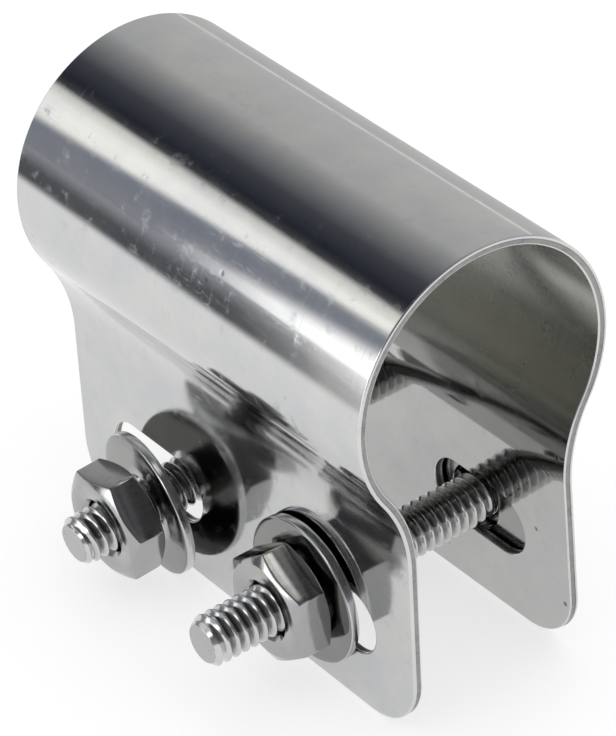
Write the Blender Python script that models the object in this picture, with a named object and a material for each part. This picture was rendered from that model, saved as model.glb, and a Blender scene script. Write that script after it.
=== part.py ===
# Pipe repair clamp: one bent stainless strap that wraps a 1-1/4 in pipe, closed
# by two 1/4 in hex bolts that pass through slotted legs.
#
# Frame: +Z up, Y runs along the pipe, X runs along the bolts (tips towards -X,
# heads towards +X). The strap stands on the lower edges of its legs at z = 0.
# The origin is at the middle of the overall footprint.

import math

import bmesh
import bpy
from mathutils import Matrix, Vector

MM = 0.001

# ---------------------------------------------------------------- strap sheet
SHEET_T = 1.15          # sheet thickness
STRAP_LEN = 63.5        # length along the pipe (2-1/2 in)
BARREL_R = 17.25        # outer radius of the part that wraps the pipe
BARREL_Z = 43.8         # height of the pipe axis above the leg edges
NECK_R = 18.5           # outer-surface radius of the concave neck bend
LEG_HALF = 12.15        # middle plane to a leg's outer face, at the lower edge
LEG_LEAN = 1.2          # degrees: each leg leans inwards going up
CORNER_R = 8.0          # rounded lower corners of the legs
BARREL_STEP = 4.0       # degrees of barrel arc per facet
NECK_STEP = 4.5         # degrees of neck arc per facet

# ---------------------------------------------------------------------- slots
SLOT_W = 8.2
# length, centre either side of the middle, and height: the pair in the nut-side
# leg was punched lower and a little longer than the pair in the head-side leg
SLOTS = {
    "nut_side": {"len": 17.5, "y": 16.25, "z": 11.1},
    "head_side": {"len": 16.0, "y": 15.95, "z": 12.5},
}

# ---------------------------------------------------------------------- bolts
BOLT_R = 3.10           # thread crest radius, 1/4-20
PITCH = 1.27
SHANK = 41.10           # thread tip to the head's bearing face
TIP_CHAMFER = 0.70
HEAD_H = 4.00
HEAD_AF = 11.10
BOLT_SEG = 48

# -------------------------------------------------------------- nuts, washers
NUT_AF = 12.70
NUT_T = 4.90
NUT_BORE_R = 3.40
WASHER_R = 9.15
WASHER_BORE_R = 4.10
WASHER_T = 1.25
WASHER_SEG = 64

# Each bolt's own frame: x runs along the bolt from the strap's middle plane, at
# y and z there. The rear bolt is loose and lies on the bottoms of its slots, so
# it droops towards its tip. washer_x is the nut-side washer's leg face and nut_x
# the nut's inner face; the rear washer hangs off the axis and askew.
BOLTS = {
    "front": {
        "y": -13.50, "z": 11.70, "droop": 0.0, "tip_x": -27.40,
        "washer_x": -12.22, "washer_off": (0.0, 0.0), "washer_skew": (0.0, 0.0),
        "nut_x": -13.85, "head_washer_x": 12.22, "hex": 26.0, "head": 8.0,
    },
    "rear": {
        "y": 13.55, "z": 10.95, "droop": 3.4, "tip_x": -26.20,
        "washer_x": -14.50, "washer_off": (0.3, -0.6), "washer_skew": (-1.2, -5.2),
        "nut_x": -17.40, "head_washer_x": 12.45, "hex": -11.0, "head": 41.0,
    },
}

# the overall footprint runs from the front thread tip to the rear bolt's head,
# so the strap's middle plane stands a little to +X of the origin
CLAMP_X = 4.110
# the leaning legs touch down on the inner arrises of their lower edges
CLAMP_Z = SHEET_T * math.sin(math.radians(LEG_LEAN))


def clear_scene():
    for ob in list(bpy.data.objects):
        bpy.data.objects.remove(ob, do_unlink=True)


def metal(name, colour, roughness):
    mat = bpy.data.materials.new(name)
    mat.use_nodes = True
    bsdf = mat.node_tree.nodes["Principled BSDF"]
    bsdf.inputs["Base Color"].default_value = (*colour, 1.0)
    bsdf.inputs["Metallic"].default_value = 1.0
    bsdf.inputs["Roughness"].default_value = roughness
    return mat


def empty(name, location, parent=None):
    ob = bpy.data.objects.new(name, None)
    ob.empty_display_size = 0.005
    ob.location = location
    ob.parent = parent
    bpy.context.scene.collection.objects.link(ob)
    return ob


def mesh_object(name, bm, mat=None, parent=None, location=(0, 0, 0), smooth=30.0):
    bmesh.ops.recalc_face_normals(bm, faces=bm.faces)
    me = bpy.data.meshes.new(name)
    bm.to_mesh(me)
    bm.free()
    me.shade_smooth()
    me.set_sharp_from_angle(angle=math.radians(smooth))
    if mat is not None:
        me.materials.append(mat)
    ob = bpy.data.objects.new(name, me)
    ob.location = location
    ob.parent = parent
    bpy.context.scene.collection.objects.link(ob)
    return ob


def cutter(ob):
    ob.hide_render = True
    ob.display_type = "WIRE"
    return ob


def boolean(ob, tool, operation):
    mod = ob.modifiers.new(tool.name, "BOOLEAN")
    mod.operation = operation
    mod.solver = "EXACT"
    mod.object = tool
    return mod


# ------------------------------------------------------------- strap geometry
class StrapProfile:
    """The strap's outer line in the XZ plane, as a run of straight legs, neck
    arcs and the barrel arc, walked from the -X leg's edge to the +X leg's edge.
    """

    def __init__(self):
        lean = math.radians(LEG_LEAN)
        # leg direction going up, and the neck bend's centre, for the +X side
        up = Vector((-math.sin(lean), math.cos(lean)))
        out = Vector((math.cos(lean), math.sin(lean)))
        foot = Vector((LEG_HALF, 0.0))
        base = foot + NECK_R * out
        hub = Vector((0.0, BARREL_Z))
        w = base - hub
        b = w.dot(up)
        c = w.dot(w) - (BARREL_R + NECK_R) ** 2
        self.leg = -b - math.sqrt(b * b - c)
        centre = base + self.leg * up
        v = centre - hub
        self.drop = -math.atan2(v.y, v.x)
        self.neck_turn = math.pi / 2 + lean - (math.pi / 2 - self.drop)
        self.neck_len = self.neck_turn * NECK_R
        self.barrel_turn = math.pi + 2.0 * self.drop
        self.barrel_len = self.barrel_turn * BARREL_R
        self.foot, self.up, self.out = foot, up, out
        self.centre, self.hub = centre, hub
        self.total = 2 * (self.leg + self.neck_len) + self.barrel_len

    def at(self, u):
        """Outer point and inward normal at developed length u."""
        mirror = u < self.total / 2
        s = u if mirror else self.total - u
        if s <= self.leg:
            p = self.foot + s * self.up
            n = -self.out
        elif s <= self.leg + self.neck_len:
            a = (s - self.leg) / NECK_R
            lean = math.radians(LEG_LEAN)
            ang = math.pi + lean - a
            d = Vector((math.cos(ang), math.sin(ang)))
            p = self.centre + NECK_R * d
            n = d
        else:
            a = (s - self.leg - self.neck_len) / BARREL_R - self.drop
            d = Vector((math.cos(a), math.sin(a)))
            p = self.hub + BARREL_R * d
            n = -d
        if mirror:
            return Vector((-p.x, p.y)), Vector((-n.x, n.y))
        return p, n

    def bend_lines(self):
        """Developed lengths where the sheet is folded into facets."""
        lines = []
        n = max(2, round(math.degrees(self.neck_turn) / NECK_STEP))
        m = max(8, round(math.degrees(self.barrel_turn) / BARREL_STEP))
        for i in range(n):
            lines.append(self.leg + self.neck_len * i / n)
        start = self.leg + self.neck_len
        for i in range(m + 1):
            lines.append(start + self.barrel_len * i / m)
        for i in range(1, n + 1):
            lines.append(start + self.barrel_len + self.neck_len * i / n)
        return lines


def rounded_outline(u0, u1, y0, y1, r, steps):
    """A rounded rectangle in the flat blank, counter-clockwise."""
    pts = []
    for cu, cy, a0 in (
        (u1 - r, y1 - r, 0.0),
        (u0 + r, y1 - r, 90.0),
        (u0 + r, y0 + r, 180.0),
        (u1 - r, y0 + r, 270.0),
    ):
        for i in range(steps + 1):
            a = math.radians(a0 + 90.0 * i / steps)
            p = (cu + r * math.cos(a), cy + r * math.sin(a))
            if not pts or math.dist(pts[-1], p) > 1e-6:
                pts.append(p)
    if math.dist(pts[0], pts[-1]) < 1e-6:
        pts.pop()
    return pts


def build_strap(mat, parent):
    prof = StrapProfile()
    half = STRAP_LEN / 2.0
    # the flat blank: a rounded rectangle with two slots near each end. u runs
    # along the sheet from one leg's edge to the other's
    bm = bmesh.new()
    loops = [rounded_outline(0.0, prof.total, -half, half, CORNER_R, 10)]
    for side, slot in SLOTS.items():
        rise = slot["z"] / math.cos(math.radians(LEG_LEAN))
        u = rise if side == "nut_side" else prof.total - rise
        for y in (-slot["y"], slot["y"]):
            loops.append(
                rounded_outline(
                    u - SLOT_W / 2,
                    u + SLOT_W / 2,
                    y - slot["len"] / 2,
                    y + slot["len"] / 2,
                    SLOT_W / 2 - 1e-4,
                    10,
                )
            )
    edges = []
    for loop in loops:
        verts = [bm.verts.new((u, y, 0.0)) for u, y in loop]
        for a, b in zip(verts, verts[1:] + verts[:1]):
            edges.append(bm.edges.new((a, b)))
    bmesh.ops.triangle_fill(bm, edges=edges, use_beauty=True, use_dissolve=False)
    for f in bm.faces:
        if f.normal.z < 0:
            f.normal_flip()
    # fold lines, so that the sheet can bend there
    for u in prof.bend_lines():
        geom = bm.verts[:] + bm.edges[:] + bm.faces[:]
        bmesh.ops.bisect_plane(
            bm, geom=geom, dist=1e-5, plane_co=(u, 0, 0), plane_no=(1, 0, 0)
        )
    # the sheet's thickness
    top = bm.faces[:]
    grown = bmesh.ops.extrude_face_region(bm, geom=top, use_keep_orig=True)
    for v in [g for g in grown["geom"] if isinstance(g, bmesh.types.BMVert)]:
        v.co.z = SHEET_T
    # bend it round the profile
    for v in bm.verts:
        p, n = prof.at(v.co.x)
        q = p + n * v.co.z
        v.co = Vector((q.x * MM, v.co.y * MM, q.y * MM))
    bmesh.ops.dissolve_limit(
        bm, angle_limit=math.radians(0.01), verts=bm.verts, edges=bm.edges
    )
    bmesh.ops.triangulate(bm, faces=bm.faces)
    return mesh_object("clamp_band", bm, mat, parent)


# ------------------------------------------------------------ turned geometry
def turned(points, segments):
    """A closed solid turned about X from (x, r) points. A profile that starts
    and ends at r = 0 is solid, any other is a ring."""
    bm = bmesh.new()
    rings = []
    for x, r in points:
        if r < 1e-9:
            rings.append([bm.verts.new((x * MM, 0, 0))])
            continue
        ring = []
        for i in range(segments):
            a = 2 * math.pi * i / segments
            ring.append(
                bm.verts.new((x * MM, r * math.cos(a) * MM, r * math.sin(a) * MM))
            )
        rings.append(ring)
    pairs = list(zip(rings, rings[1:]))
    if len(rings[0]) > 1:
        pairs.append((rings[-1], rings[0]))
    for a, b in pairs:
        for i in range(segments):
            j = (i + 1) % segments
            if len(a) == 1:
                bm.faces.new((a[0], b[i], b[j]))
            elif len(b) == 1:
                bm.faces.new((a[i], a[j], b[0]))
            else:
                bm.faces.new((a[i], a[j], b[j], b[i]))
    return bm


def hex_prism(x0, x1, af, turn):
    """A hexagonal prism along X between x0 and x1."""
    bm = bmesh.new()
    r = af / math.sqrt(3.0)
    ends = []
    for x in (x0, x1):
        ends.append(
            [
                bm.verts.new(
                    (
                        x * MM,
                        r * math.cos(math.radians(turn + 60 * i)) * MM,
                        r * math.sin(math.radians(turn + 60 * i)) * MM,
                    )
                )
                for i in range(6)
            ]
        )
    bm.faces.new(ends[0])
    bm.faces.new(ends[1])
    for i in range(6):
        j = (i + 1) % 6
        bm.faces.new((ends[0][i], ends[0][j], ends[1][j], ends[1][i]))
    return bm


def chamfer_envelope(x0, x1, af, both):
    """Turned body whose cones cut a hexagon's corners at its faces: x0 is the
    outer face, x1 the inner one."""
    face = af * 0.475
    wide = af * 0.70
    rise = (wide - face) * math.tan(math.radians(30.0))
    sign = 1.0 if x1 > x0 else -1.0
    pts = [(x0, 0.0), (x0, face), (x0 + sign * rise, wide)]
    if both:
        pts += [(x1 - sign * rise, wide), (x1, face), (x1, 0.0)]
    else:
        pts += [(x1 + sign * 2.0, wide), (x1 + sign * 2.0, 0.0)]
    return turned(pts, WASHER_SEG)


def build_nut(tag, spec, mat, parent):
    x1 = spec["nut_x"]
    x0 = x1 - NUT_T
    nut = mesh_object("nut_" + tag, hex_prism(x0, x1, NUT_AF, spec["hex"]), mat, parent)
    cones = cutter(
        mesh_object("nut_cones_" + tag, chamfer_envelope(x0, x1, NUT_AF, True), None, parent)
    )
    sink = 0.6
    bore = cutter(
        mesh_object(
            "nut_bore_" + tag,
            turned(
                [
                    (x0 - 1.0, 0.0),
                    (x0 - 1.0, NUT_BORE_R + sink + 1.0),
                    (x0 + sink, NUT_BORE_R),
                    (x1 - sink, NUT_BORE_R),
                    (x1 + 1.0, NUT_BORE_R + sink + 1.0),
                    (x1 + 1.0, 0.0),
                ],
                BOLT_SEG,
            ),
            None,
            parent,
        )
    )
    boolean(nut, cones, "INTERSECT")
    boolean(nut, bore, "DIFFERENCE")
    return nut


def build_bolt(tag, spec, mat, parent):
    tip = spec["tip_x"]
    x0 = tip + SHANK
    x1 = x0 + HEAD_H
    head = cutter(
        mesh_object(
            "bolt_head_" + tag,
            hex_prism(x0, x1, HEAD_AF, spec["head"]),
            None,
            parent,
        )
    )
    cones = cutter(
        mesh_object(
            "head_cones_" + tag, chamfer_envelope(x1, x0, HEAD_AF, False), None, parent
        )
    )
    boolean(head, cones, "INTERSECT")
    shank = mesh_object(
        "bolt_" + tag,
        turned(
            [
                (tip, 0.0),
                (tip, BOLT_R - TIP_CHAMFER),
                (tip + TIP_CHAMFER, BOLT_R),
                (x0 + 1.0, BOLT_R),
                (x0 + 1.0, 0.0),
            ],
            BOLT_SEG,
        ),
        mat,
        parent,
    )
    boolean(shank, head, "UNION")
    return shank


def build_washer(name, x_mid, mat, parent, off=(0.0, 0.0), skew=(0.0, 0.0)):
    """Flat washer with a rolled-over rim, its middle at x_mid on the bolt, moved
    off the bolt's axis by off and tipped by skew degrees about y and z."""
    roll = 0.18
    h = WASHER_T / 2.0
    bm = turned(
        [
            (-h, WASHER_BORE_R),
            (-h, WASHER_R - roll),
            (-h + roll, WASHER_R),
            (h - roll, WASHER_R),
            (h, WASHER_R - roll),
            (h, WASHER_BORE_R),
        ],
        WASHER_SEG,
    )
    ob = mesh_object(
        name, bm, mat, parent, (x_mid * MM, off[0] * MM, off[1] * MM)
    )
    ob.rotation_euler = (0.0, math.radians(skew[0]), math.radians(skew[1]))
    return ob


def main():
    clear_scene()
    sheet = metal("polished_sheet", (0.74, 0.74, 0.73), 0.12)
    bolt_mat = metal("bolt_steel", (0.66, 0.65, 0.63), 0.24)
    nut_mat = metal("nut_steel", (0.70, 0.70, 0.70), 0.20)
    washer_mat = metal("washer_steel", (0.64, 0.64, 0.62), 0.22)

    frame = empty("clamp_frame", (CLAMP_X * MM, 0, CLAMP_Z * MM))
    build_strap(sheet, frame)
    for tag, spec in BOLTS.items():
        axis = empty("axis_" + tag, (0, spec["y"] * MM, spec["z"] * MM), frame)
        axis.rotation_euler = (0.0, -math.radians(spec["droop"]), 0.0)
        h = WASHER_T / 2.0
        build_washer(
            "head_washer_" + tag, spec["head_washer_x"] + h, washer_mat, axis
        )
        build_bolt(tag, spec, bolt_mat, axis)
        build_washer(
            "nut_washer_" + tag,
            spec["washer_x"] - h,
            washer_mat,
            axis,
            spec["washer_off"],
            spec["washer_skew"],
        )
        build_nut(tag, spec, nut_mat, axis)


main()
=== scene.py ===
import math

import bmesh
import bpy
from mathutils import Matrix, Vector


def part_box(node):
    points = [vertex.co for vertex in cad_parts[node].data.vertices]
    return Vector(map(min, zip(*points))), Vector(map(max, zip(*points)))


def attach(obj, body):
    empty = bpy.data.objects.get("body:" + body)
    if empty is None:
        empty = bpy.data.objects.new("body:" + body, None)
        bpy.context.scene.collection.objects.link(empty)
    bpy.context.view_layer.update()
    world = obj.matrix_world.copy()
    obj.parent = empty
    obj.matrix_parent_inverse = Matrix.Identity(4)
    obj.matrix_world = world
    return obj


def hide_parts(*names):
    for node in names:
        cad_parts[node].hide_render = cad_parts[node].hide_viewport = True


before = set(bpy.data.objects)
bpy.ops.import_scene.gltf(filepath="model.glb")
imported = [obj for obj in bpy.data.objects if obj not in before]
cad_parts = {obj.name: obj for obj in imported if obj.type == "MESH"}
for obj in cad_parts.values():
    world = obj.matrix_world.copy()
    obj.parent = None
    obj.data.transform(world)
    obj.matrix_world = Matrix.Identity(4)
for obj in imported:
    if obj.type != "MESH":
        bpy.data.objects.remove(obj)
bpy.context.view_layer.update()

# ---------------------------------------------------------------------------
# Dimensions, in millimetres, in the clamp's own frame: x = 0 is the strap's
# middle plane and z = 0 the outer arris of the legs' lower edges.
# ---------------------------------------------------------------------------
MM = 0.001
SHEET_T = 1.15
STRAP_LEN = 63.5
BARREL_R = 17.25
BARREL_Z = 43.8
NECK_R = 18.5
LEG_HALF = 12.15
LEG_LEAN = math.radians(1.2)
CORNER_R = 8.0
SLOT_W = 8.2
SLOTS = (("nut_side", 17.5, 16.25, 11.1), ("head_side", 16.0, 15.95, 12.5))     # length, y, height
BOLT_R, ROOT_R, PITCH = 3.10, 2.40, 1.27
HEAD_AF = 11.10
NUT_AF = 12.70
WASHER_R, WASHER_BORE, WASHER_T = 9.15, 4.10, 1.25
NUT_T = 4.90
SHANK, HEAD_H = 41.10, 4.00

# the strap's middle plane and base, read from the CAD box of the strap
B_LO, B_HI = (Vector(v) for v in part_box("clamp_band"))
CX = (B_LO.x + B_HI.x) / 2.0
CZ = SHEET_T * math.sin(LEG_LEAN) * MM


def row(x, y, z):
    """Clamp millimetres to row-frame metres."""
    return Vector((CX + x * MM, y * MM, CZ + z * MM))


# ---------------------------------------------------------------------------
# Node helpers
# ---------------------------------------------------------------------------
class Nodes:
    def __init__(self, name):
        self.mat = bpy.data.materials.new(name)
        self.mat.use_nodes = True
        self.t = self.mat.node_tree
        self.t.nodes.clear()

    def add(self, kind, **vals):
        n = self.t.nodes.new(kind)
        for k, v in vals.items():
            if k.startswith("in_"):
                key = k[3:]
                key = int(key) if key.isdigit() else key.replace("_", " ")
                n.inputs[key].default_value = v
            else:
                setattr(n, k, v)
        return n

    def link(self, a, ao, b, bi):
        self.t.links.new(a.outputs[ao], b.inputs[bi])

    def noise(self, coord, scale, detail=4.0, rough=0.55, stretch=(1, 1, 1), offset=(0, 0, 0)):
        m = self.add("ShaderNodeMapping")
        m.inputs["Scale"].default_value = stretch
        m.inputs["Location"].default_value = offset
        self.link(coord, "Object", m, "Vector")
        n = self.add("ShaderNodeTexNoise")
        n.inputs["Scale"].default_value = scale
        n.inputs["Detail"].default_value = detail
        n.inputs["Roughness"].default_value = rough
        self.link(m, "Vector", n, "Vector")
        return n

    def ramp(self, src, out, stops, interp="LINEAR"):
        r = self.add("ShaderNodeValToRGB")
        r.color_ramp.interpolation = interp
        el = r.color_ramp.elements
        while len(el) > 1:
            el.remove(el[-1])
        el[0].position = stops[0][0]
        el[0].color = _rgba(stops[0][1])
        for p, c in stops[1:]:
            e = el.new(p)
            e.color = _rgba(c)
        self.link(src, out, r, "Fac")
        return r

    def maths(self, op, a, b=None, clamp=False):
        n = self.add("ShaderNodeMath", operation=op, use_clamp=clamp)
        for i, v in enumerate((a, b)):
            if v is None:
                continue
            if isinstance(v, tuple):
                self.link(v[0], v[1], n, i)
            else:
                n.inputs[i].default_value = v
        return n

    def mix(self, fac, a, b, blend="MIX"):
        n = self.add("ShaderNodeMix", data_type="RGBA", blend_type=blend)
        if isinstance(fac, tuple):
            self.link(fac[0], fac[1], n, "Factor")
        else:
            n.inputs["Factor"].default_value = fac
        for sock, v in ((6, a), (7, b)):
            if isinstance(v, tuple) and len(v) == 2 and not isinstance(v[0], (int, float)):
                self.t.links.new(v[0].outputs[v[1]], n.inputs[sock])
            else:
                n.inputs[sock].default_value = _rgba(v)
        return n


def _rgba(c):
    if isinstance(c, (int, float)):
        return (c, c, c, 1.0)
    return (c[0], c[1], c[2], 1.0)


def steel(name, base, rough, wave, grain, scratch_dir, pits=0.0, tint=(1.0, 1.0, 1.0), dirt=0.35, zone=None, scuffs=0.0):
    """Bright stainless. base: reflectance, rough: mean roughness, wave: long
    undulation of the sheet in metres, grain: height of the fine polishing
    lines in metres, scratch_dir: stretch of the lines along x, y, z. zone
    scales the colour and adds roughness over a distance, so its colour
    factor can paint shade: (kind, stops), where kind is "z" for
    height or "r" for distance from the local x axis, and each stop is
    (metres, colour factor, extra roughness)."""
    n = Nodes(name)
    co = n.add("ShaderNodeTexCoord")
    bsdf = n.add("ShaderNodeBsdfPrincipled")
    bsdf.inputs["Metallic"].default_value = 1.0
    out = n.add("ShaderNodeOutputMaterial")
    n.link(bsdf, "BSDF", out, "Surface")

    # colour: a slight drift from warm to cool, stains and rubbed marks
    drift = n.noise(co, 150.0, 5.0, 0.6)
    col = n.ramp(
        drift, "Fac",
        [(0.36, tuple(base * t * c for t, c in zip(tint, (0.915, 0.925, 0.94)))),
         (0.64, tuple(base * t * c for t, c in zip(tint, (1.0, 0.995, 0.975))))],
    )
    stain = n.noise(co, 420.0, 6.0, 0.68)
    stain_m = n.ramp(stain, "Fac", [(0.56, 0.0), (0.74, 1.0)])
    stain_f = n.maths("MULTIPLY", (stain_m, "Color"), dirt * 0.35)
    c1 = n.mix((stain_f, "Value"), (col, "Color"), base * 0.62)
    # dark specks: small pits left by polishing
    vor = n.add("ShaderNodeTexVoronoi", feature="F1")
    vor.inputs["Scale"].default_value = 330.0
    vor.inputs["Randomness"].default_value = 1.0
    n.link(co, "Object", vor, "Vector")
    speck_gate = n.noise(co, 150.0, 2.0, 0.5, offset=(3.1, 1.7, 0.4))
    gate = n.ramp(speck_gate, "Fac", [(0.60, 0.0), (0.66, 1.0)])
    speck = n.ramp(vor, "Distance", [(0.06, 1.0), (0.14, 0.0)])
    speck_on = n.maths("MULTIPLY", (speck, "Color"), (gate, "Color"))
    speck_f = n.maths("MULTIPLY", (speck_on, "Value"), pits)
    c2 = n.mix((speck_f, "Value"), (c1, 2), 0.16)
    # zone: the colour is scaled by height or radius, which can paint shade, and roughness is added
    if zone:
        sep = n.add("ShaderNodeSeparateXYZ")
        n.link(co, "Object", sep, "Vector")
        if zone[0] == "z":
            dist = (sep, "Z")
        else:
            yy = n.maths("MULTIPLY", (sep, "Y"), (sep, "Y"))
            zz = n.maths("MULTIPLY", (sep, "Z"), (sep, "Z"))
            rr = n.maths("ADD", (yy, "Value"), (zz, "Value"))
            dist = (n.maths("SQRT", (rr, "Value")), "Value")
        lo, hi = zone[1][0][0], zone[1][-1][0]
        off = n.maths("SUBTRACT", dist, lo)
        part = n.maths("DIVIDE", (off, "Value"), hi - lo, clamp=True)
        tone = n.ramp(part, "Value", [((q[0] - lo) / (hi - lo), q[1]) for q in zone[1]])
        dull = n.ramp(part, "Value", [((q[0] - lo) / (hi - lo), q[2]) for q in zone[1]])
        if len(zone) > 2:
            # only between these two x, clear of the turned tip and the head
            past = n.maths("GREATER_THAN", (sep, "X"), zone[2])
            short = n.maths("LESS_THAN", (sep, "X"), zone[3])
            past = n.maths("MULTIPLY", (past, "Value"), (short, "Value"))
            tone = n.mix((past, "Value"), 1.0, (tone, "Color"))
            tone_out = (tone, 2)
        else:
            tone_out = (tone, "Color")
        c2 = n.mix(1.0, (c2, 2), tone_out, "MULTIPLY")
    n.link(c2, 2, bsdf, "Base Color")

    # roughness: patches rubbed duller, lines of fine scratches
    patch = n.noise(co, 95.0, 5.0, 0.6, offset=(0.7, 0.2, 0.9))
    lines = n.noise(co, 1.0, 4.0, 0.7, stretch=scratch_dir)
    r1 = n.ramp(patch, "Fac", [(0.35, rough * 0.75), (0.72, rough * 1.45)])
    r2 = n.ramp(lines, "Fac", [(0.45, 0.0), (0.8, rough * 0.9)])
    radd = n.maths("ADD", (r1, "Color"), (r2, "Color"))
    radd2 = n.maths("ADD", (radd, "Value"), (stain_f, "Value"), clamp=True)
    if scuffs:
        # short rubbed marks, gathered in a few places
        mark = n.noise(co, 1.0, 2.0, 0.5, stretch=(2100.0, 620.0, 2100.0), offset=(5.2, 1.3, 2.6))
        near = n.noise(co, 70.0, 1.0, 0.5, offset=(1.9, 4.1, 0.3))
        mark_m = n.ramp(mark, "Fac", [(0.58, 0.0), (0.70, 1.0)])
        near_m = n.ramp(near, "Fac", [(0.55, 0.0), (0.70, 1.0)])
        both = n.maths("MULTIPLY", (mark_m, "Color"), (near_m, "Color"))
        amount = n.maths("MULTIPLY", (both, "Value"), 0.085 * scuffs)
        radd2 = n.maths("ADD", (radd2, "Value"), (amount, "Value"), clamp=True)
        # a few hair scratches across the grain
        hair = n.noise(co, 1.0, 1.0, 0.5, stretch=(95.0, 5200.0, 95.0), offset=(0.4, 7.7, 1.1))
        hair_m = n.ramp(hair, "Fac", [(0.66, 0.0), (0.72, 1.0)])
        hair_gate = n.noise(co, 85.0, 1.0, 0.5, offset=(8.3, 2.2, 5.9))
        hair_g = n.ramp(hair_gate, "Fac", [(0.56, 0.0), (0.66, 1.0)])
        hairs = n.maths("MULTIPLY", (hair_m, "Color"), (hair_g, "Color"))
        hair_r = n.maths("MULTIPLY", (hairs, "Value"), 0.10 * scuffs)
        radd2 = n.maths("ADD", (radd2, "Value"), (hair_r, "Value"), clamp=True)
    if zone:
        radd2 = n.maths("ADD", (radd2, "Value"), (dull, "Color"), clamp=True)
    n.link(radd2, "Value", bsdf, "Roughness")

    # surface: long waves of the sheet, then the polishing lines, then pits
    wav = n.noise(co, 48.0, 1.5, 0.4)
    b1 = n.add("ShaderNodeBump")
    b1.inputs["Strength"].default_value = 1.0
    b1.inputs["Distance"].default_value = wave
    n.link(wav, "Fac", b1, "Height")
    b2 = n.add("ShaderNodeBump")
    b2.inputs["Strength"].default_value = 1.0
    b2.inputs["Distance"].default_value = grain
    n.link(lines, "Fac", b2, "Height")
    n.link(b1, "Normal", b2, "Normal")
    b3 = n.add("ShaderNodeBump", invert=True)
    b3.inputs["Strength"].default_value = 0.6
    b3.inputs["Distance"].default_value = 2.0e-5
    n.link(speck_f, "Value", b3, "Height")
    n.link(b2, "Normal", b3, "Normal")
    n.link(b3, "Normal", bsdf, "Normal")
    return n.mat


# lines run along the pipe on the strap, so the noise is stretched along y
# painted shade: the zone paints the sheet's colour about a tenth darker on the legs, neck and lower barrel than near
# the barrel's top; the neck band is also rougher
M_SHEET = steel("polished_sheet", 0.64, 0.075, 1.5e-5, 9.0e-7, (5200.0, 300.0, 5200.0), pits=0.4, dirt=0.55, scuffs=1.0,
                zone=("z", ((0.010, 0.91, 0.0), (0.021, 0.90, 0.0), (0.025, 0.89, 0.035), (0.031, 0.89, 0.035), (0.036, 0.88, 0.0), (0.040, 0.88, 0.0), (0.052, 1.0, 0.0))))
# the inner face is polished on the legs and keeps its mill finish in the barrel, where it is rougher; its colour also
# grows darker and warmer from the legs up to the barrel's top
M_INNER = steel("satin_inner_face", 0.60, 0.055, 0.8e-5, 6.0e-7, (4200.0, 260.0, 4200.0), pits=1.0, tint=(1.0, 0.998, 0.985), dirt=0.5, scuffs=0.5,
                zone=("z", ((0.024, 0.88, 0.0), (0.028, 0.88, 0.02), (0.032, (0.82, 0.82, 0.79), 0.08), (0.038, (0.76, 0.76, 0.71), 0.18), (0.0605, (0.72, 0.72, 0.67), 0.20))))
M_EDGE_BRIGHT = steel("sheared_edge_burnish", 0.66, 0.18, 4.0e-6, 3.0e-6, (900.0, 900.0, 5200.0), pits=0.0)
M_EDGE_DULL = steel("sheared_edge_fracture", 0.34, 0.40, 4.0e-6, 1.2e-5, (2600.0, 2600.0, 2600.0), pits=0.4, tint=(1.0, 0.99, 0.97), dirt=0.8)
# painted shade: the thread's colour is darkened to about a third in its roots and rises to full on its crests; the
# roots are also rougher
M_BOLT = steel("bolt_steel", 0.61, 0.12, 3.0e-6, 1.6e-6, (300.0, 5200.0, 5200.0), pits=0.2,
               zone=("r", ((0.00236, 0.36, 0.06), (0.00250, 0.48, 0.04), (0.00278, 0.84, 0.0), (0.00304, 1.0, 0.0)), -0.0252, 0.0133))
M_TIP = steel("bolt_cut_end", 0.44, 0.20, 6.0e-6, 2.5e-6, (2600.0, 2600.0, 2600.0), pits=0.6, dirt=0.8)
M_HEAD = steel("bolt_head_steel", 0.47, 0.13, 4.0e-6, 6.0e-7, (600.0, 2600.0, 2600.0), pits=0.3, dirt=0.6)
M_NUT = steel("nut_steel", 0.40, 0.12, 4.0e-6, 5.0e-7, (500.0, 3000.0, 3000.0), pits=0.3, dirt=0.6)
M_WASHER = steel("washer_steel", 0.255, 0.12, 6.0e-6, 1.4e-6, (4200.0, 1400.0, 1400.0), pits=0.4, tint=(1.0, 1.0, 0.98), dirt=0.6)
# painted light: a lighter copy of the washer steel, for the head washers' face against the far leg, seen through the
# slot
M_WASHER_SEAT_LIT = steel("washer_seat_painted_light", 0.38, 0.13, 6.0e-6, 1.4e-6, (4200.0, 1400.0, 1400.0), pits=0.4, tint=(1.0, 1.0, 0.98), dirt=0.5)
# painted shade: a darker copy of the washer steel, for the nut washers' face against the leg, so that face and its
# image in the leg read as shaded
M_WASHER_BACK_SHADED = steel("washer_back_painted_shade", 0.13, 0.16, 6.0e-6, 1.4e-6, (4200.0, 1400.0, 1400.0), pits=0.4, tint=(1.0, 1.0, 0.95), dirt=0.6)
M_WASHER_RIM = steel("washer_rim", 0.58, 0.17, 4.0e-6, 4.0e-6, (5200.0, 800.0, 800.0), pits=0.0)


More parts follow.
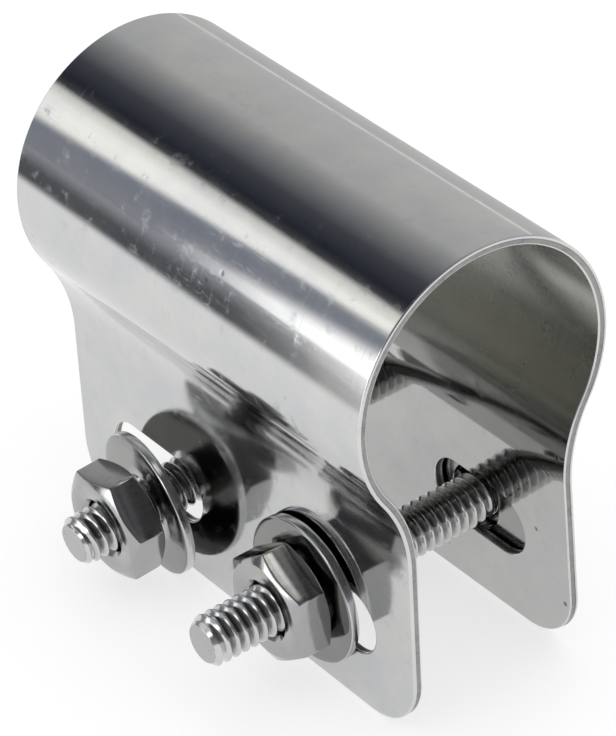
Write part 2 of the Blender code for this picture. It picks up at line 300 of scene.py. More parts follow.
# ---------------------------------------------------------------------------
# The strap: a flat blank with sheared rims, folded round the profile
# ---------------------------------------------------------------------------
class Profile:
    def __init__(self):
        up = Vector((-math.sin(LEG_LEAN), math.cos(LEG_LEAN)))
        out = Vector((math.cos(LEG_LEAN), math.sin(LEG_LEAN)))
        foot = Vector((LEG_HALF, 0.0))
        base = foot + NECK_R * out
        hub = Vector((0.0, BARREL_Z))
        w = base - hub
        b = w.dot(up)
        c = w.dot(w) - (BARREL_R + NECK_R) ** 2
        self.leg = -b - math.sqrt(b * b - c)
        centre = base + self.leg * up
        v = centre - hub
        self.drop = -math.atan2(v.y, v.x)
        self.neck_turn = LEG_LEAN + self.drop
        self.neck_len = self.neck_turn * NECK_R
        self.barrel_turn = math.pi + 2.0 * self.drop
        self.barrel_len = self.barrel_turn * BARREL_R
        self.foot, self.up, self.out, self.centre, self.hub = foot, up, out, centre, hub
        self.total = 2 * (self.leg + self.neck_len) + self.barrel_len

    def at(self, u):
        mirror = u < self.total / 2
        s = u if mirror else self.total - u
        if s <= self.leg:
            p, n = self.foot + s * self.up, -self.out
        elif s <= self.leg + self.neck_len:
            ang = math.pi + LEG_LEAN - (s - self.leg) / NECK_R
            d = Vector((math.cos(ang), math.sin(ang)))
            p, n = self.centre + NECK_R * d, d
        else:
            a = (s - self.leg - self.neck_len) / BARREL_R - self.drop
            d = Vector((math.cos(a), math.sin(a)))
            p, n = self.hub + BARREL_R * d, -d
        if mirror:
            return Vector((-p.x, p.y)), Vector((-n.x, n.y))
        return p, n

    def folds(self, neck_step, barrel_step):
        n = max(2, round(math.degrees(self.neck_turn) / neck_step))
        m = max(8, round(math.degrees(self.barrel_turn) / barrel_step))
        start = self.leg + self.neck_len
        us = [self.leg + self.neck_len * i / n for i in range(n)]
        us += [start + self.barrel_len * i / m for i in range(m + 1)]
        us += [start + self.barrel_len + self.neck_len * i / n for i in range(1, n + 1)]
        return us


def outline(u0, u1, y0, y1, r, steps, run=3.0):
    """Rounded rectangle, counter-clockwise, with points along its straights."""
    corners = []
    for cu, cy, a0 in ((u1 - r, y1 - r, 0), (u0 + r, y1 - r, 90), (u0 + r, y0 + r, 180), (u1 - r, y0 + r, 270)):
        corners.append([
            (cu + r * math.cos(math.radians(a0 + 90.0 * i / steps)), cy + r * math.sin(math.radians(a0 + 90.0 * i / steps)))
            for i in range(steps + 1)
        ])
    pts = []
    for k in range(4):
        pts += corners[k]
        a, b = corners[k][-1], corners[(k + 1) % 4][0]
        n = int(math.dist(a, b) / run)
        pts += [(a[0] + (b[0] - a[0]) * i / n, a[1] + (b[1] - a[1]) * i / n) for i in range(1, n)] if n > 1 else []
    out = []
    for p in pts:
        if not out or math.dist(out[-1], p) > 1e-5:
            out.append(p)
    if math.dist(out[0], out[-1]) < 1e-5:
        out.pop()
    return out


def inset(loop, d):
    """Every point moved by d to the left of the loop's direction."""
    n = len(loop)
    res = []
    for i in range(n):
        a, b, c = Vector(loop[i - 1]), Vector(loop[i]), Vector(loop[(i + 1) % n])
        t = (b - a).normalized() + (c - b).normalized()
        t.normalize()
        res.append((b.x - t.y * d, b.y + t.x * d))
    return res


# (depth from the outer face, how far the edge stands back); the rim is dull between the depths in RIM_DULL
RIM = (
    (0.00, 0.20), (0.03, 0.11), (0.07, 0.05), (0.13, 0.015), (0.20, 0.0),
    (0.36, 0.0), (0.385, 0.060), (0.44, 0.065), (0.47, 0.030), (0.90, 0.050), (0.96, 0.055), (1.04, 0.075), (1.10, 0.115), (1.15, 0.190),
)
RIM_DULL = (0.35, 0.95)


def build_strap():
    prof = Profile()
    half = STRAP_LEN / 2.0
    loops = [outline(0.0, prof.total, -half, half, CORNER_R, 20)]
    for side, length, yc, z in SLOTS:
        rise = z / math.cos(LEG_LEAN)
        u = rise if side == "nut_side" else prof.total - rise
        for y in (-yc, yc):
            hole = outline(u - SLOT_W / 2, u + SLOT_W / 2, y - length / 2, y + length / 2, SLOT_W / 2 - 1e-3, 20)
            loops.append(hole[::-1])
    bm = bmesh.new()
    rings = []
    for w, d in RIM:
        rings.append([[bm.verts.new((p[0], p[1], w)) for p in inset(lp, d)] for lp in loops])

    def fill(level):
        edges = []
        for vs in rings[level]:
            for a, b in zip(vs, vs[1:] + vs[:1]):
                e = bm.edges.get((a, b)) or bm.edges.new((a, b))
                edges.append(e)
        made = bmesh.ops.triangle_fill(bm, edges=edges, use_beauty=True, use_dissolve=False)
        return [g for g in made["geom"] if isinstance(g, bmesh.types.BMFace)]

    kind = bm.faces.layers.int.new("kind")     # 1 outer face, 2 inner face, 3 bright rim, 4 dull rim
    for f in fill(0):
        f[kind] = 1
    for f in fill(len(RIM) - 1):
        f[kind] = 2
    for k in range(len(RIM) - 1):
        for lp0, lp1 in zip(rings[k], rings[k + 1]):
            m = len(lp0)
            for i in range(m):
                j = (i + 1) % m
                f = bm.faces.new((lp0[i], lp0[j], lp1[j], lp1[i]))
                f[kind] = 4 if RIM_DULL[0] < RIM[k][0] < RIM_DULL[1] else 3
    for u in prof.folds(1.6, 1.25):
        geom = bm.verts[:] + bm.edges[:] + bm.faces[:]
        bmesh.ops.bisect_plane(bm, geom=geom, dist=1e-4, plane_co=(u, 0, 0), plane_no=(1, 0, 0))
    bmesh.ops.triangulate(bm, faces=bm.faces)
    nrm = {}
    for v in bm.verts:
        p, n = prof.at(v.co.x)
        q = p + n * v.co.z
        nrm[v.index] = None
        v.co, v.normal = row(q.x, v.co.y, q.y), Vector((-n.x, 0.0, -n.y))
    bm.verts.index_update()
    us = [v.normal.copy() for v in bm.verts]
    bmesh.ops.recalc_face_normals(bm, faces=bm.faces)
    bm.faces.ensure_lookup_table()
    kinds = [f[kind] for f in bm.faces]
    for f in bm.faces:
        f.smooth = True
        f.material_index = {1: 0, 2: 3, 3: 1, 4: 2}[f[kind]]
    me = bpy.data.meshes.new("strap")
    bm.to_mesh(me)
    bm.free()
    for m in (M_SHEET, M_EDGE_BRIGHT, M_EDGE_DULL, M_INNER):
        me.materials.append(m)
    # exact normals on the sheet's two faces, smoothed ones round its rim
    rim = [Vector((0, 0, 0)) for _ in me.vertices]
    for poly, k in zip(me.polygons, kinds):
        if k >= 3:
            for vi in poly.vertices:
                rim[vi] += Vector(poly.normal) * poly.area
    split = []
    for poly, k in zip(me.polygons, kinds):
        for vi in poly.vertices:
            if k == 1:
                split.append(us[vi])
            elif k == 2:
                split.append(-us[vi])
            else:
                v = rim[vi].normalized()
                split.append(v if v.dot(Vector(poly.normal)) > 0.8 else Vector(poly.normal))
    me.normals_split_custom_set(split)
    ob = bpy.data.objects.new("strap", me)
    bpy.context.scene.collection.objects.link(ob)
    return ob


# ---------------------------------------------------------------------------
# Turned and threaded pieces. Each is built in its bolt's own frame, with x
# along the bolt, then placed by a matrix.
# ---------------------------------------------------------------------------
def at(x, y, z):
    return Vector((x * MM, y * MM, z * MM))


def bolt_frame(sp):
    """Row-frame matrix of a bolt: droop turns its tip down about Y."""
    m = Matrix.Rotation(-math.radians(sp["droop"]), 4, "Y")
    m.translation = row(0.0, sp["y"], sp["z"])
    return m


def finish_mesh(name, bm, mats, sharp=32.0):
    bmesh.ops.recalc_face_normals(bm, faces=bm.faces)
    me = bpy.data.meshes.new(name)
    bm.to_mesh(me)
    bm.free()
    for m in mats:
        me.materials.append(m)
    me.shade_smooth()
    me.set_sharp_from_angle(angle=math.radians(sharp))
    ob = bpy.data.objects.new(name, me)
    bpy.context.scene.collection.objects.link(ob)
    return ob


def thread_radius(phase):
    """Radius over one pitch: a 60 degree V with a narrow crest flat and a
    rounded root. phase runs 0..1 with the root at 0."""
    p = abs(((phase + 0.5) % 1.0) - 0.5) * 2.0         # 0 at the root, 1 at the crest
    lo, hi = 0.12, 0.84
    if p <= lo:
        t = 0.5 * (p / lo) ** 2 * lo
    elif p < hi:
        t = 0.5 * lo + (p - lo)
    else:
        q = (p - hi) / (1.0 - hi)
        t = 0.5 * lo + (hi - lo) + (1.0 - hi) * (q - 0.5 * q * q) * 0.55
    top = 0.5 * lo + (hi - lo) + (1.0 - hi) * 0.5 * 0.55
    return ROOT_R + (BOLT_R - ROOT_R) * t / top


def add_thread(bm, x_tip, x_end, turn0, seg=72, spp=14):
    """A right-hand thread between the tip and x_end, on a grid that follows the
    helix. Returns the ring at x_end."""
    face_r = ROOT_R - 0.05
    cham = 0.85

    def limit(x):
        run = x - x_tip
        if run < cham:
            r = face_r + (BOLT_R - face_r) * (run / cham)
        else:
            r = BOLT_R + 1.0
        tail = x_end - x
        if tail < 0.9:
            r = min(r, BOLT_R - 0.35 + 0.0 * tail) if tail <= 0 else r
        return r

    s0 = x_tip - PITCH * 1.5
    n = int((x_end + PITCH * 1.5 - s0) / PITCH * spp) + 1
    verts = {}
    grid = []
    for i in range(n + 1):
        line = []
        s = s0 + PITCH * i / spp
        rt = thread_radius((i % spp) / spp)
        for j in range(seg):
            th = 2 * math.pi * j / seg
            x = s + PITCH * j / seg
            xc = min(max(x, x_tip), x_end)
            r = min(rt, limit(xc))
            if x >= x_end:
                r = ROOT_R + 0.2
            elif x_end - x < 1.3:
                # the thread runs out towards the head
                f = (x_end - x) / 1.3
                r = r * f + (ROOT_R + 0.2) * (1 - f)
            key = (round(xc, 5), round(r, 5), j)
            v = verts.get(key)
            if v is None:
                a = th + turn0
                v = bm.verts.new(at(xc, r * math.cos(a), r * math.sin(a)))
                verts[key] = v
            line.append(v)
        grid.append(line)

    def quad(a, b, c, d):
        vs = []
        for v in (a, b, c, d):
            if v not in vs:
                vs.append(v)
        if len(vs) >= 3:
            try:
                bm.faces.new(vs)
            except ValueError:
                pass

    for i in range(n):
        for j in range(seg - 1):
            quad(grid[i][j], grid[i + 1][j], grid[i + 1][j + 1], grid[i][j + 1])
        if i + 1 + spp <= n:
            j = seg - 1
            quad(grid[i][j], grid[i + 1][j], grid[i + 1 + spp][0], grid[i + spp][0])
    return grid[0], grid[n]


def ring(bm, x, r, seg, turn0=0.0):
    return [
        bm.verts.new(at(x, r * math.cos(turn0 + 2 * math.pi * j / seg), r * math.sin(turn0 + 2 * math.pi * j / seg)))
        for j in range(seg)
    ]


def bridge(bm, a, b, mat=0):
    m = len(a)
    for i in range(m):
        j = (i + 1) % m
        f = bm.faces.new((a[i], a[j], b[j], b[i]))
        f.material_index = mat


def hex_points(af, turn, fillet, flat_n=14, arc_n=6):
    """Points round a hexagon with slightly rounded corners, as (y, z)."""
    r_in = af / 2.0
    pts = []
    for k in range(6):
        a = turn + math.radians(60 * k)
        # corner at angle a; arc centre inset
        cc = (r_in - fillet) / math.cos(math.radians(30))
        cx, cy = cc * math.cos(a), cc * math.sin(a)
        for i in range(arc_n + 1):
            b = a - math.radians(30) + math.radians(60) * i / arc_n
            pts.append((cx + fillet * math.cos(b), cy + fillet * math.sin(b)))
        # flat to the next corner
        a2 = turn + math.radians(60 * (k + 1))
        n0 = pts[-1]
        n1 = (cc * math.cos(a2) + fillet * math.cos(a2 - math.radians(30)), cc * math.sin(a2) + fillet * math.sin(a2 - math.radians(30)))
        for i in range(1, flat_n):
            f = i / flat_n
            pts.append((n0[0] + (n1[0] - n0[0]) * f, n0[1] + (n1[1] - n0[1]) * f))
    return pts


def hex_rings(bm, x_face, inward, af, turn, face_r, fillet=0.30, soft=0.13):
    """Rings from a chamfered face to the hexagon's side: inward is +1 when the
    solid lies towards +x of the face. Returns (face ring, ..., side ring)."""
    pts = hex_points(af, turn, fillet)
    t30 = math.tan(math.radians(28.0))
    rings = []

    def put(radius_of, x_of):
        res = []
        for p in pts:
            rho = math.hypot(*p)
            r = radius_of(rho)
            res.append(bm.verts.new(at(x_face + inward * x_of(rho), p[0] / rho * r, p[1] / rho * r)))
        rings.append(res)

    put(lambda q: face_r - 0.10, lambda q: 0.0)
    put(lambda q: face_r, lambda q: 0.010)
    put(lambda q: face_r + (q - face_r) * 0.12 + 0.02, lambda q: ((q - face_r) * 0.12 + 0.02) * t30 + 0.008)
    put(lambda q: max(face_r + 0.05, q - soft), lambda q: max(0.05, (q - soft - face_r)) * t30)
    put(lambda q: max(face_r + 0.08, q - soft * 0.30), lambda q: (max(0.08, q - soft * 0.30 - face_r)) * t30 + 0.02)
    put(lambda q: q, lambda q: (q - face_r) * t30 + soft * 0.8)
    return rings


def build_nut(tag, x_in, turn):
    """Hex nut, its inner face at x_in and the other one nearer the tip."""
    x_out = x_in - NUT_T
    bm = bmesh.new()
    face_r = NUT_AF * 0.458
    front = hex_rings(bm, x_out, 1.0, NUT_AF, turn, face_r, 0.42, 0.17)
    back = hex_rings(bm, x_in, -1.0, NUT_AF, turn, face_r, 0.42, 0.17)
    m = len(front[0])
    for a, b in zip(front, front[1:]):
        bridge(bm, a, b)
    for a, b in zip(back, back[1:]):
        bridge(bm, b, a)
    bridge(bm, front[-1], back[-1])

    # the countersunk, threaded bore, on the same angles as the hexagon's points
    pts = hex_points(NUT_AF, turn, 0.42)
    angs = [math.atan2(p[1], p[0]) for p in pts]

    def bore(x, r):
        return [bm.verts.new(at(x, r * math.cos(a), r * math.sin(a))) for a in angs]

    sink = 3.95
    steps = [(x_out, sink), (x_out + 0.06, sink - 0.08)]
    prev = front[0]
    for x, r in steps + [(x_out + 0.62, 3.36)]:
        cur = bore(x, r)
        bridge(bm, cur, prev)
        prev = cur
    # rings of the nut's own thread inside the bore
    k = 0
    x = x_out + 0.62
    while x < x_in - 0.85:
        x += PITCH / 4
        k += 1
        cur = bore(min(x, x_in - 0.62), 3.36 + (0.10 if k % 2 else 0.0))
        bridge(bm, cur, prev)
        prev = cur
    for x, r in [(x_in - 0.06, sink - 0.08), (x_in, sink)]:
        cur = bore(x, r)
        bridge(bm, cur, prev)
        prev = cur
    bridge(bm, back[0], prev)
    return finish_mesh("hex_nut_" + tag, bm, [M_NUT], 40.0)


def build_bolt(tag, x_tip, x_head, head_h, head_turn, turn0):
    bm = bmesh.new()
    seg = 72
    first, last = add_thread(bm, x_tip, x_head - 0.4, turn0, seg)
    # tip: a small turned dish inside the chamfer
    loop = _unique(first)
    prev = loop
    for dx, r in ((0.0, ROOT_R - 0.30), (0.03, ROOT_R * 0.62), (0.045, ROOT_R * 0.30)):
        cur = [bm.verts.new(at(x_tip + dx, r * math.cos(turn0 + 2 * math.pi * j / seg), r * math.sin(turn0 + 2 * math.pi * j / seg))) for j in range(seg)]
        bridge(bm, prev, cur)
        prev = cur
    c = bm.verts.new(at(x_tip + 0.05, 0.0, 0.0))
    for i in range(seg):
        bm.faces.new((prev[(i + 1) % seg], prev[i], c))
    # unthreaded neck, fillet and hex head
    prev = _unique(last)
    pts = hex_points(HEAD_AF, head_turn, 0.30)
    for x, r in ((x_head - 0.25, ROOT_R + 0.22), (x_head - 0.1, ROOT_R + 0.34), (x_head, ROOT_R + 0.6)):
        cur = ring(bm, x, r, seg, turn0)
        bridge(bm, cur, prev)
        prev = cur
    face_r = HEAD_AF * 0.472
    under = hex_rings(bm, x_head, 1.0, HEAD_AF, head_turn, HEAD_AF * 0.492)
    top = hex_rings(bm, x_head + head_h, -1.0, HEAD_AF, head_turn, face_r)
    for a, b in zip(under, under[1:]):
        bridge(bm, a, b)
    for a, b in zip(top, top[1:]):
        bridge(bm, b, a)
    bridge(bm, under[-1], top[-1])
    # under-head: join the round neck to the hexagon's first ring
    edges = []
    for vs in (prev, under[0]):
        for a, b in zip(vs, vs[1:] + vs[:1]):
            edges.append(bm.edges.get((a, b)) or bm.edges.new((a, b)))
    bmesh.ops.bridge_loops(bm, edges=edges)
    # head top: shallow turned dish
    prev = top[0]
    angs = [math.atan2(p[1], p[0]) for p in pts]
    for dx, k in ((0.0, 0.90), (-0.10, 0.82), (-0.14, 0.55), (-0.14, 0.22)):
        cur = [bm.verts.new(at(x_head + head_h + dx, face_r * k * math.cos(a), face_r * k * math.sin(a))) for a in angs]
        bridge(bm, prev, cur)
        prev = cur
    c = bm.verts.new(at(x_head + head_h - 0.14, 0.0, 0.0))
    m = len(prev)
    for i in range(m):
        bm.faces.new((prev[i], prev[(i + 1) % m], c))
    for f in bm.faces:
        if f.calc_center_median().x > (x_head - 0.01) * MM:
            f.material_index = 1
        elif f.calc_center_median().x < (x_tip + 0.06) * MM:
            f.material_index = 2
    return finish_mesh("hex_bolt_" + tag, bm, [M_BOLT, M_HEAD, M_TIP], 50.0)


def _unique(line):
    out = []
    for v in line:
        if v not in out:
            out.append(v)
    return out


def build_washer(name, rim_towards_tip=True, back=None):
    """Stamped flat washer about its own middle: one arris rolled over, the
    other torn slightly, with a line round the rim where the cut ends."""
    t, r = WASHER_T, WASHER_R
    prof = [
        (0.00, WASHER_BORE + 0.16, 0), (0.00, 5.6, 0), (0.012, 7.4, 0), (0.03, r - 0.50, 0), (0.07, r - 0.22, 0), (0.14, r - 0.08, 1), (0.24, r - 0.015, 1), (0.34, r, 1),
        (0.66, r, 1), (0.685, r - 0.045, 1), (0.73, r - 0.045, 1), (t - 0.15, r - 0.015, 1), (t - 0.05, r - 0.05, 1), (t, r - 0.12, 2),
        (t, WASHER_BORE + 0.05, 1), (t - 0.07, WASHER_BORE, 1), (0.20, WASHER_BORE + 0.02, 1), (0.06, WASHER_BORE + 0.06, 1),
    ]
    seg = 180
    bm = bmesh.new()
    rings = []
    for dx, rr, _ in prof:
        x = dx - t / 2 if rim_towards_tip else t / 2 - dx
        rings.append(ring(bm, x, rr, seg))
    for i, (a, b) in enumerate(zip(rings, rings[1:] + rings[:1])):
        bridge(bm, a, b, prof[i][2])
    # the face at the far arris takes back, by default the darker copy of the washer steel: painted shade
    return finish_mesh(name, bm, [M_WASHER, M_WASHER_RIM, back or M_WASHER_BACK_SHADED], 35.0)


strap = build_strap()
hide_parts("clamp_band")
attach(strap, "band")

SPEC = {
    "front": dict(y=-13.50, z=11.70, droop=0.0, tip=-27.40, washer_x=-12.22, off=(0.0, 0.0), skew=(0.0, 0.0),
                  nut_x=-13.85, head_washer_x=12.22, hex=math.radians(26.0), head=math.radians(8.0), turn=0.6),
    "rear": dict(y=13.55, z=10.95, droop=3.4, tip=-26.20, washer_x=-14.50, off=(0.3, -0.6), skew=(-1.2, -5.2),
                 nut_x=-17.40, head_washer_x=12.45, hex=math.radians(-11.0), head=math.radians(41.0), turn=2.3),
}

for tag, sp in SPEC.items():
    m = bolt_frame(sp)
    bolt = build_bolt(tag, sp["tip"], sp["tip"] + SHANK, HEAD_H, sp["head"], sp["turn"])
    bolt.matrix_world = m
    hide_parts("bolt_" + tag)
    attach(bolt, tag + "_screw")
    nut = build_nut(tag, sp["nut_x"], sp["hex"])
    nut.matrix_world = m
    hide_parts("nut_" + tag)
    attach(nut, tag + "_nut")
    w1 = build_washer("plain_washer_" + tag)
    skew = Matrix.Rotation(math.radians(sp["skew"][1]), 4, "Z") @ Matrix.Rotation(math.radians(sp["skew"][0]), 4, "Y")
    w1.matrix_world = m @ Matrix.Translation(at(sp["washer_x"] - WASHER_T / 2, *sp["off"])) @ skew
    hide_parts("nut_washer_" + tag)
    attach(w1, tag + "_follower")
    # the head washer's face against the far leg takes the lighter copy: painted light
    w2 = build_washer("plain_head_washer_" + tag, rim_towards_tip=False, back=M_WASHER_SEAT_LIT)
    w2.matrix_world = m @ Matrix.Translation(at(sp["head_washer_x"] + WASHER_T / 2, 0.0, 0.0))
    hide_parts("head_washer_" + tag)
    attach(w2, tag + "_carrier")


# ---------------------------------------------------------------------------
# Floor, studio surroundings, lights, camera
# ---------------------------------------------------------------------------
def build_floor():
    bm = bmesh.new()
    bmesh.ops.create_grid(bm, x_segments=40, y_segments=40, size=3.0)
    me = bpy.data.meshes.new("floor")
    bm.to_mesh(me)
    bm.free()
    ob = bpy.data.objects.new("floor", me)
    bpy.context.scene.collection.objects.link(ob)
    ob.location = (0, 0, -0.0002)
    n = Nodes("floor_paper")
    co = n.add("ShaderNodeTexCoord")
    bsdf = n.add("ShaderNodeBsdfPrincipled")
    out = n.add("ShaderNodeOutputMaterial")
    n.link(bsdf, "BSDF", out, "Surface")
    tex = n.noise(co, 900.0, 3.0, 0.5)
    c = n.ramp(tex, "Fac", [(0.2, 0.34), (0.8, 0.36)])
    n.link(c, "Color", bsdf, "Base Color")
    bsdf.inputs["Roughness"].default_value = 0.9
    bsdf.inputs["Specular IOR Level"].default_value = 0.1
    # a light table: most of the paper's brightness comes from below
    bsdf.inputs["Emission Color"].default_value = (1.0, 1.0, 1.0, 1.0)
    bsdf.inputs["Emission Strength"].default_value = 0.71
    me.materials.append(n.mat)
    return ob


def build_world():
    """A studio whose brightness changes round the pipe's direction, Y: dark
    above and behind the camera, lamps either side, pale walls."""
    w = bpy.data.worlds.new("studio")
    bpy.context.scene.world = w
    w.use_nodes = True
    t = w.node_tree
    t.nodes.clear()
    co = t.nodes.new("ShaderNodeTexCoord")
    sep = t.nodes.new("ShaderNodeSeparateXYZ")
    t.links.new(co.outputs["Generated"], sep.inputs[0])
    negx = t.nodes.new("ShaderNodeMath"); negx.operation = "MULTIPLY"; negx.inputs[1].default_value = -1.0
    t.links.new(sep.outputs["X"], negx.inputs[0])
    ang = t.nodes.new("ShaderNodeMath"); ang.operation = "ARCTAN2"
    t.links.new(negx.outputs[0], ang.inputs[0])
    t.links.new(sep.outputs["Z"], ang.inputs[1])
    fac = t.nodes.new("ShaderNodeMath"); fac.operation = "MULTIPLY_ADD"
    fac.inputs[1].default_value = 1.0 / (2 * math.pi); fac.inputs[2].default_value = 0.5
    t.links.new(ang.outputs[0], fac.inputs[0])
    ramp = t.nodes.new("ShaderNodeValToRGB")
    ramp.color_ramp.interpolation = "LINEAR"
    # angle from straight up towards -X, in degrees, and radiance
    stops = [
        (-180, (0.62, 0.62, 0.61)), (-125, (0.60, 0.60, 0.60)), (-90, (0.60, 0.60, 0.60)), (-60, (0.60, 0.60, 0.59)),
        (-30, (0.54, 0.54, 0.54)), (-20, (0.38, 0.38, 0.38)), (-8, (0.22, 0.225, 0.24)), (6, (0.07, 0.075, 0.09)),
        (24, (0.022, 0.027, 0.038)), (31, (0.06, 0.062, 0.07)), (35, (0.85, 0.85, 0.82)), (44, (1.25, 1.25, 1.20)),
        (49, (0.90, 0.90, 0.88)), (54, (0.30, 0.32, 0.37)), (64, (0.26, 0.28, 0.33)), (84, (0.30, 0.31, 0.35)),
        (96, (0.20, 0.21, 0.23)), (180, (0.62, 0.62, 0.61)),
    ]
    el = ramp.color_ramp.elements
    while len(el) > 1:
        el.remove(el[-1])
    el[0].position = 0.0
    el[0].color = _rgba(stops[0][1])
    for a, c in stops[1:]:
        e = el.new((a + 180.0) / 360.0)
        e.color = _rgba(c)
    t.links.new(fac.outputs[0], ramp.inputs["Fac"])
    # the -Y end of the studio is unlit, so the small faces that turn that way go dark
    dim = t.nodes.new("ShaderNodeValToRGB")
    t.links.new(fac.outputs[0], dim.inputs["Fac"])
    unlit = [
        (-180, 0.62), (-95, 0.60), (-70, 0.52), (-45, 0.46), (-25, 0.36), (0, 0.16), (30, 0.09), (55, 0.12), (75, 0.26), (92, 0.40), (180, 0.62),
    ]
    el = dim.color_ramp.elements
    while len(el) > 1:
        el.remove(el[-1])
    el[0].position = 0.0
    el[0].color = _rgba(unlit[0][1])
    for a, c in unlit[1:]:
        e = el.new((a + 180.0) / 360.0)
        e.color = _rgba((c * 0.98, c * 0.97, c * 1.04))
    side = t.nodes.new("ShaderNodeMapRange")
    side.interpolation_type = "SMOOTHSTEP"
    side.inputs["From Min"].default_value = -0.35
    side.inputs["From Max"].default_value = 0.30
    t.links.new(sep.outputs["Y"], side.inputs["Value"])
    both = t.nodes.new("ShaderNodeMix")
    both.data_type = "RGBA"
    t.links.new(side.outputs["Result"], both.inputs["Factor"])
    t.links.new(dim.outputs["Color"], both.inputs[6])
    t.links.new(ramp.outputs["Color"], both.inputs[7])
    bg = t.nodes.new("ShaderNodeBackground")
    t.links.new(both.outputs[2], bg.inputs["Color"])
    bg.inputs["Strength"].default_value = 1.0
    out = t.nodes.new("ShaderNodeOutputWorld")
    t.links.new(bg.outputs[0], out.inputs["Surface"])
    return w


def area(name, loc, target, size, power, colour=(1, 1, 1), glossy=True, size_y=None):
    li = bpy.data.lights.new(name, "AREA")
    li.energy = power
    li.color = colour
    li.shape = "RECTANGLE"
    li.size = size
    li.size_y = size_y or size
    ob = bpy.data.objects.new(name, li)
    bpy.context.scene.collection.objects.link(ob)
    ob.location = loc
    ob.rotation_mode = "QUATERNION"
    ob.rotation_quaternion = (Vector(target) - Vector(loc)).to_track_quat("-Z", "Y")
    ob.visible_glossy = glossy
    ob.visible_camera = False
    return ob


def mirrored(phi, y, wall=0.25, ground=0.0012):
    """Where the camera's ray goes after it meets the barrel at the angle phi
    (degrees from the top towards -X) and at y (mm): the first point on the
    upright plane |x| = wall or just above the floor."""
    a = math.radians(phi)
    nrm = Vector((-math.sin(a), 0.0, math.cos(a)))
    pt = row(-BARREL_R * math.sin(a), y, BARREL_Z + BARREL_R * math.cos(a))
    d = (pt - row(*CAM_AT)).normalized()
    r = d - 2.0 * d.dot(nrm) * nrm
    t = (math.copysign(wall, r.x) - pt.x) / r.x
    if r.z < 0.0:
        t = min(t, (ground - pt.z) / r.z)
    return pt + t * r


def card(name, near, far, level, tint=(1.0, 1.0, 1.0), soft=(0.25, 0.25), fade_near=0.0, wall=0.25, steps=24, top=None, fade_far=0.0):
    """A studio card that only shows in reflections. near and far are (y, phi
    at the upper edge, phi at the lower edge), where it should appear on the
    barrel; its edges are soft over the given share of its width. top is the
    level at the upper edge, where it differs."""
    bm = bmesh.new()
    tag = bm.verts.layers.float.new("mask")
    glow = bm.verts.layers.float.new("glow")
    grid = []
    for i in range(steps + 1):
        f = i / steps
        line = []
        for j in range(steps + 1):
            g = j / steps
            y = near[0] + (far[0] - near[0]) * f
            hi_phi = near[1] + (far[1] - near[1]) * f
            lo_phi = near[2] + (far[2] - near[2]) * f
            v = bm.verts.new(mirrored(hi_phi + (lo_phi - hi_phi) * g, y, wall))
            k = min(1.0, g / soft[0] if soft[0] else 1.0, (1.0 - g) / soft[1] if soft[1] else 1.0)
            k = max(0.0, k)
            if fade_near:
                k *= min(1.0, f / fade_near)
            if fade_far:
                k *= min(1.0, (1.0 - f) / fade_far)
            v[tag] = k * k * (3.0 - 2.0 * k)
            w = min(1.0, g / 0.5)
            v[glow] = level if top is None else top + (level - top) * w * w * (3.0 - 2.0 * w)
            line.append(v)
        grid.append(line)
    for i in range(steps):
        for j in range(steps):
            bm.faces.new((grid[i][j], grid[i + 1][j], grid[i + 1][j + 1], grid[i][j + 1]))
    me = bpy.data.meshes.new(name)
    bm.to_mesh(me)
    bm.free()
    ob = bpy.data.objects.new(name, me)
    bpy.context.scene.collection.objects.link(ob)
    glowing(ob, name, tint)
    return ob


def glowing(ob, name, tint):
    """A card's own light: strength from glow, edges faded by mask."""
    n = Nodes(name + "_card")
    at_mask = n.add("ShaderNodeAttribute", attribute_name="mask")
    at_glow = n.add("ShaderNodeAttribute", attribute_name="glow")
    em = n.add("ShaderNodeEmission")
    em.inputs["Color"].default_value = _rgba(tint)
    n.link(at_glow, "Fac", em, "Strength")
    clear = n.add("ShaderNodeBsdfTransparent")
    mx = n.add("ShaderNodeMixShader")
    n.link(at_mask, "Fac", mx, 0)
    n.link(clear, 0, mx, 1)
    n.link(em, 0, mx, 2)
    out = n.add("ShaderNodeOutputMaterial")
    n.link(mx, 0, out, "Surface")
    ob.data.materials.append(n.mat)
    ob.visible_camera = False
    ob.visible_diffuse = False
    ob.visible_shadow = False


def lamp_panel(name, centre, across, up, level, tint=(1.0, 1.0, 1.0), edge=0.3, steps=12):
    """A flat soft-edged lamp that only shows in reflections."""
    bm = bmesh.new()
    tag = bm.verts.layers.float.new("mask")
    glow = bm.verts.layers.float.new("glow")
    grid = []
    for i in range(steps + 1):
        line = []
        for j in range(steps + 1):
            f, g = i / steps, j / steps
            v = bm.verts.new(Vector(centre) + (f - 0.5) * Vector(across) + (g - 0.5) * Vector(up))
            k = max(0.0, min(1.0, f / edge, (1 - f) / edge, g / edge, (1 - g) / edge))
            v[tag] = k * k * (3.0 - 2.0 * k)
            v[glow] = level
            line.append(v)
        grid.append(line)
    for i in range(steps):
        for j in range(steps):
            bm.faces.new((grid[i][j], grid[i + 1][j], grid[i + 1][j + 1], grid[i][j + 1]))
    me = bpy.data.meshes.new(name)
    bm.to_mesh(me)
    bm.free()
    ob = bpy.data.objects.new(name, me)
    bpy.context.scene.collection.objects.link(ob)
    glowing(ob, name, tint)
    return ob


CAM_AT = (-208.88073189, -295.89280546, 288.89018454)
build_floor()
build_world()
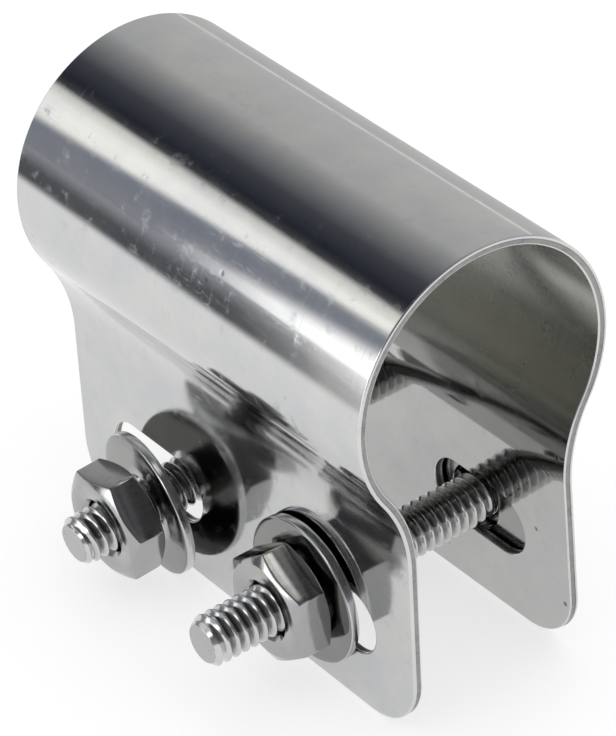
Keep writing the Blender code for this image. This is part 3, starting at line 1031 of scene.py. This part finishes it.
# lamps and flags on the left: each is (y, upper angle, lower angle) on the barrel
card("lamp_far", (-34.0, 41.0, 44.5), (40.0, 41.0, 55.0), 1.30, (1.0, 1.0, 0.97), soft=(0.30, 0.35))
card("lamp_near", (-50.0, 45.0, 75.5), (6.0, 58.0, 63.0), 1.75, (1.0, 1.0, 1.0), soft=(0.38, 0.34), wall=0.245, fade_far=0.52)
card("flag_left", (-50.0, 62.5, 78.0), (50.0, 62.5, 78.5), 0.12, (0.93, 0.96, 1.05), soft=(0.02, 0.25), fade_near=0.42, wall=0.24, top=0.38)
card("flag_right", (-60.0, -25.0, -45.2), (60.0, -25.0, -45.2), 0.56, (1.0, 1.0, 0.99), soft=(0.02, 0.03), wall=0.25)
# a strip low on the left lights the chamfers and the thread crests
lamp_panel("lamp_low", (-0.26, 0.045, 0.055), (0.0, 0.20, 0.0), (0.0, 0.0, 0.085), 2.3, (1.0, 1.0, 0.98))
lamp_panel("lamp_mid", (-0.27, -0.035, 0.150), (0.0, 0.13, 0.0), (0.0, 0.0, 0.13), 3.2, (1.0, 0.99, 0.95))
area("overhead", (0.1, -0.1, 1.6), (0, 0, 0), 2.4, 26.0, glossy=False)
# softbox low on the left, behind: its edge shows in the barrel's near end
area("softbox_left", (-0.62, 0.20, 0.10), (0, 0, 0.04), 0.42, 1.2, (1.0, 1.0, 0.99), size_y=0.20)

# camera
R = (
    (0.7882976743945829, -0.6118789479993105, -0.06473738903716508),
    (-0.3997222426770785, -0.4292831099680166, -0.8099000803836202),
    (0.467770141472603, 0.6643193241893876, -0.5829845025858373),
)
cam_data = bpy.data.cameras.new("camera")
cam = bpy.data.objects.new("camera", cam_data)
bpy.context.scene.collection.objects.link(cam)
rot = Matrix(((R[0][0], -R[1][0], -R[2][0]), (R[0][1], -R[1][1], -R[2][1]), (R[0][2], -R[1][2], -R[2][2])))
m4 = rot.to_4x4()
m4.translation = row(*CAM_AT)
cam.matrix_world = m4
cam_data.sensor_fit = "AUTO"
cam_data.sensor_width = 36.0
cam_data.lens = 3903.3434 * 36.0 / 736.0
cam_data.clip_start, cam_data.clip_end = 0.01, 50.0
cam_data.dof.use_dof = False
bpy.context.scene.camera = cam

sc = bpy.context.scene
sc.view_settings.view_transform = "Standard"
sc.view_settings.look = "None"
sc.view_settings.exposure = 0.0
sc.view_settings.gamma = 1.0
